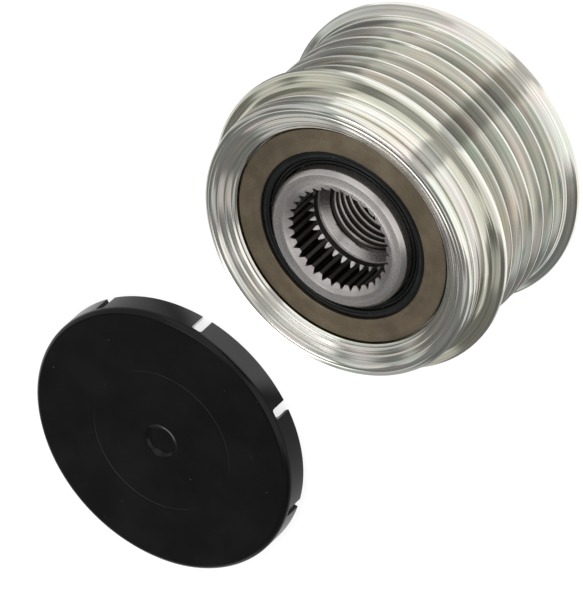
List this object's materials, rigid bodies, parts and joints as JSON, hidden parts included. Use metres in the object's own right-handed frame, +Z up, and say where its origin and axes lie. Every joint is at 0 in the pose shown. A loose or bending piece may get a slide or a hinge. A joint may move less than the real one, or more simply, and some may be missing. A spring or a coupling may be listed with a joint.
{
  "type": "overrunning alternator pulley",
  "caption": "Grooved belt pulley turning on a splined, threaded hub through roller bearings and a one-way roller clutch, sealed at both ends, with its plastic dust cap lying beside it.",
  "frame": {"origin": "middle of the floor area that the standing pulley and the cap beside it take up", "axes": "+Z up along the pulley's axis, from its rear face to its front face; +Y from the pulley to the cap"},
  "size_m": [0.0616, 0.1526, 0.0346],
  "materials": {
    "zinc_plated_steel": "bright zinc plate over fine turning lines",
    "phosphated_steel": "brown phosphate, satin",
    "hub_steel": "bare machined steel, satin",
    "bearing_steel": "ground and polished",
    "spring_steel": "rolled strip, satin",
    "seal_rubber": "moulded black rubber, lightly greased",
    "cage_plastic": "natural glass-filled nylon",
    "cap_plastic": "black moulded plastic, satin gloss"
  },
  "bodies": {
    "pulley": {"belt_pulley": "zinc_plated_steel", "clutch_outer_race": "bearing_steel", "front_seal_ring": "phosphated_steel", "front_seal_lip": "seal_rubber", "rear_seal_ring": "phosphated_steel", "rear_seal_lip": "seal_rubber", "dust_cap": "cap_plastic"},
    "hub": {"inner_ring": "hub_steel", "clutch_ramp_sleeve": "bearing_steel", "clutch_cage": "cage_plastic", "clutch_roller_1": "bearing_steel", "clutch_roller_2": "bearing_steel", "clutch_roller_3": "bearing_steel", "clutch_roller_4": "bearing_steel", "clutch_roller_5": "bearing_steel", "clutch_roller_6": "bearing_steel", "clutch_roller_7": "bearing_steel", "clutch_roller_8": "bearing_steel", "clutch_spring_1": "spring_steel", "clutch_spring_2": "spring_steel", "clutch_spring_3": "spring_steel", "clutch_spring_4": "spring_steel", "clutch_spring_5": "spring_steel", "clutch_spring_6": "spring_steel", "clutch_spring_7": "spring_steel", "clutch_spring_8": "spring_steel"},
    "front_cage": {"front_bearing_cage": "cage_plastic"},
    "rear_cage": {"rear_bearing_cage": "cage_plastic"},
    "front_roller_01": {"front_bearing_roller_01": "bearing_steel"},
    "front_roller_02": {"front_bearing_roller_02": "bearing_steel"},
    "front_roller_03": {"front_bearing_roller_03": "bearing_steel"},
    "front_roller_04": {"front_bearing_roller_04": "bearing_steel"},
    "front_roller_05": {"front_bearing_roller_05": "bearing_steel"},
    "front_roller_06": {"front_bearing_roller_06": "bearing_steel"},
    "front_roller_07": {"front_bearing_roller_07": "bearing_steel"},
    "front_roller_08": {"front_bearing_roller_08": "bearing_steel"},
    "front_roller_09": {"front_bearing_roller_09": "bearing_steel"},
    "front_roller_10": {"front_bearing_roller_10": "bearing_steel"},
    "front_roller_11": {"front_bearing_roller_11": "bearing_steel"},
    "front_roller_12": {"front_bearing_roller_12": "bearing_steel"},
    "rear_roller_01": {"rear_bearing_roller_01": "bearing_steel"},
    "rear_roller_02": {"rear_bearing_roller_02": "bearing_steel"},
    "rear_roller_03": {"rear_bearing_roller_03": "bearing_steel"},
    "rear_roller_04": {"rear_bearing_roller_04": "bearing_steel"},
    "rear_roller_05": {"rear_bearing_roller_05": "bearing_steel"},
    "rear_roller_06": {"rear_bearing_roller_06": "bearing_steel"},
    "rear_roller_07": {"rear_bearing_roller_07": "bearing_steel"},
    "rear_roller_08": {"rear_bearing_roller_08": "bearing_steel"},
    "rear_roller_09": {"rear_bearing_roller_09": "bearing_steel"},
    "rear_roller_10": {"rear_bearing_roller_10": "bearing_steel"},
    "rear_roller_11": {"rear_bearing_roller_11": "bearing_steel"},
    "rear_roller_12": {"rear_bearing_roller_12": "bearing_steel"}
  },
  "joints": [
    {"name": "hub_spin", "type": "hinge", "parent": "pulley", "child": "hub", "pos_m": [0.00175, -0.04725, 0.017], "axis": [0, 0, 1], "continuous": true},
    {"name": "front_cage_spin", "type": "hinge", "parent": "pulley", "child": "front_cage", "pos_m": [0.00175, -0.04725, 0.02587], "axis": [0, 0, 1], "continuous": true},
    {"name": "rear_cage_spin", "type": "hinge", "parent": "pulley", "child": "rear_cage", "pos_m": [0.00175, -0.04725, 0.00745], "axis": [0, 0, 1], "continuous": true},
    {"name": "front_roller_01_spin", "type": "hinge", "parent": "front_cage", "child": "front_roller_01", "pos_m": [0.0175, -0.04725, 0.02587], "axis": [0, 0, 1], "continuous": true},
    {"name": "front_roller_02_spin", "type": "hinge", "parent": "front_cage", "child": "front_roller_02", "pos_m": [0.01539, -0.03938, 0.02587], "axis": [0, 0, 1], "continuous": true},
    {"name": "front_roller_03_spin", "type": "hinge", "parent": "front_cage", "child": "front_roller_03", "pos_m": [0.00962, -0.03361, 0.02587], "axis": [0, 0, 1], "continuous": true},
    {"name": "front_roller_04_spin", "type": "hinge", "parent": "front_cage", "child": "front_roller_04", "pos_m": [0.00175, -0.0315, 0.02587], "axis": [0, 0, 1], "continuous": true},
    {"name": "front_roller_05_spin", "type": "hinge", "parent": "front_cage", "child": "front_roller_05", "pos_m": [-0.00613, -0.03361, 0.02587], "axis": [0, 0, 1], "continuous": true},
    {"name": "front_roller_06_spin", "type": "hinge", "parent": "front_cage", "child": "front_roller_06", "pos_m": [-0.01189, -0.03938, 0.02587], "axis": [0, 0, 1], "continuous": true},
    {"name": "front_roller_07_spin", "type": "hinge", "parent": "front_cage", "child": "front_roller_07", "pos_m": [-0.014, -0.04725, 0.02587], "axis": [0, 0, 1], "continuous": true},
    {"name": "front_roller_08_spin", "type": "hinge", "parent": "front_cage", "child": "front_roller_08", "pos_m": [-0.01189, -0.05513, 0.02587], "axis": [0, 0, 1], "continuous": true},
    {"name": "front_roller_09_spin", "type": "hinge", "parent": "front_cage", "child": "front_roller_09", "pos_m": [-0.00613, -0.06089, 0.02587], "axis": [0, 0, 1], "continuous": true},
    {"name": "front_roller_10_spin", "type": "hinge", "parent": "front_cage", "child": "front_roller_10", "pos_m": [0.00175, -0.063, 0.02587], "axis": [0, 0, 1], "continuous": true},
    {"name": "front_roller_11_spin", "type": "hinge", "parent": "front_cage", "child": "front_roller_11", "pos_m": [0.00962, -0.06089, 0.02587], "axis": [0, 0, 1], "continuous": true},
    {"name": "front_roller_12_spin", "type": "hinge", "parent": "front_cage", "child": "front_roller_12", "pos_m": [0.01539, -0.05513, 0.02587], "axis": [0, 0, 1], "continuous": true},
    {"name": "rear_roller_01_spin", "type": "hinge", "parent": "rear_cage", "child": "rear_roller_01", "pos_m": [0.0175, -0.04725, 0.00745], "axis": [0, 0, 1], "continuous": true},
    {"name": "rear_roller_02_spin", "type": "hinge", "parent": "rear_cage", "child": "rear_roller_02", "pos_m": [0.01539, -0.03938, 0.00745], "axis": [0, 0, 1], "continuous": true},
    {"name": "rear_roller_03_spin", "type": "hinge", "parent": "rear_cage", "child": "rear_roller_03", "pos_m": [0.00962, -0.03361, 0.00745], "axis": [0, 0, 1], "continuous": true},
    {"name": "rear_roller_04_spin", "type": "hinge", "parent": "rear_cage", "child": "rear_roller_04", "pos_m": [0.00175, -0.0315, 0.00745], "axis": [0, 0, 1], "continuous": true},
    {"name": "rear_roller_05_spin", "type": "hinge", "parent": "rear_cage", "child": "rear_roller_05", "pos_m": [-0.00613, -0.03361, 0.00745], "axis": [0, 0, 1], "continuous": true},
    {"name": "rear_roller_06_spin", "type": "hinge", "parent": "rear_cage", "child": "rear_roller_06", "pos_m": [-0.01189, -0.03938, 0.00745], "axis": [0, 0, 1], "continuous": true},
    {"name": "rear_roller_07_spin", "type": "hinge", "parent": "rear_cage", "child": "rear_roller_07", "pos_m": [-0.014, -0.04725, 0.00745], "axis": [0, 0, 1], "continuous": true},
    {"name": "rear_roller_08_spin", "type": "hinge", "parent": "rear_cage", "child": "rear_roller_08", "pos_m": [-0.01189, -0.05513, 0.00745], "axis": [0, 0, 1], "continuous": true},
    {"name": "rear_roller_09_spin", "type": "hinge", "parent": "rear_cage", "child": "rear_roller_09", "pos_m": [-0.00613, -0.06089, 0.00745], "axis": [0, 0, 1], "continuous": true},
    {"name": "rear_roller_10_spin", "type": "hinge", "parent": "rear_cage", "child": "rear_roller_10", "pos_m": [0.00175, -0.063, 0.00745], "axis": [0, 0, 1], "continuous": true},
    {"name": "rear_roller_11_spin", "type": "hinge", "parent": "rear_cage", "child": "rear_roller_11", "pos_m": [0.00962, -0.06089, 0.00745], "axis": [0, 0, 1], "continuous": true},
    {"name": "rear_roller_12_spin", "type": "hinge", "parent": "rear_cage", "child": "rear_roller_12", "pos_m": [0.01539, -0.05513, 0.00745], "axis": [0, 0, 1], "continuous": true}
  ],
  "couplings": [
    {"joint": "front_cage_spin", "follows": "hub_spin", "ratio": 0.42698},
    {"joint": "rear_cage_spin", "follows": "hub_spin", "ratio": 0.42698},
    {"joint": "front_roller_01_spin", "follows": "hub_spin", "ratio": -3.3509},
    {"joint": "front_roller_02_spin", "follows": "hub_spin", "ratio": -3.3509},
    {"joint": "front_roller_03_spin", "follows": "hub_spin", "ratio": -3.3509},
    {"joint": "front_roller_04_spin", "follows": "hub_spin", "ratio": -3.3509},
    {"joint": "front_roller_05_spin", "follows": "hub_spin", "ratio": -3.3509},
    {"joint": "front_roller_06_spin", "follows": "hub_spin", "ratio": -3.3509},
    {"joint": "front_roller_07_spin", "follows": "hub_spin", "ratio": -3.3509},
    {"joint": "front_roller_08_spin", "follows": "hub_spin", "ratio": -3.3509},
    {"joint": "front_roller_09_spin", "follows": "hub_spin", "ratio": -3.3509},
    {"joint": "front_roller_10_spin", "follows": "hub_spin", "ratio": -3.3509},
    {"joint": "front_roller_11_spin", "follows": "hub_spin", "ratio": -3.3509},
    {"joint": "front_roller_12_spin", "follows": "hub_spin", "ratio": -3.3509},
    {"joint": "rear_roller_01_spin", "follows": "hub_spin", "ratio": -3.3509},
    {"joint": "rear_roller_02_spin", "follows": "hub_spin", "ratio": -3.3509},
    {"joint": "rear_roller_03_spin", "follows": "hub_spin", "ratio": -3.3509},
    {"joint": "rear_roller_04_spin", "follows": "hub_spin", "ratio": -3.3509},
    {"joint": "rear_roller_05_spin", "follows": "hub_spin", "ratio": -3.3509},
    {"joint": "rear_roller_06_spin", "follows": "hub_spin", "ratio": -3.3509},
    {"joint": "rear_roller_07_spin", "follows": "hub_spin", "ratio": -3.3509},
    {"joint": "rear_roller_08_spin", "follows": "hub_spin", "ratio": -3.3509},
    {"joint": "rear_roller_09_spin", "follows": "hub_spin", "ratio": -3.3509},
    {"joint": "rear_roller_10_spin", "follows": "hub_spin", "ratio": -3.3509},
    {"joint": "rear_roller_11_spin", "follows": "hub_spin", "ratio": -3.3509},
    {"joint": "rear_roller_12_spin", "follows": "hub_spin", "ratio": -3.3509}
  ]
}
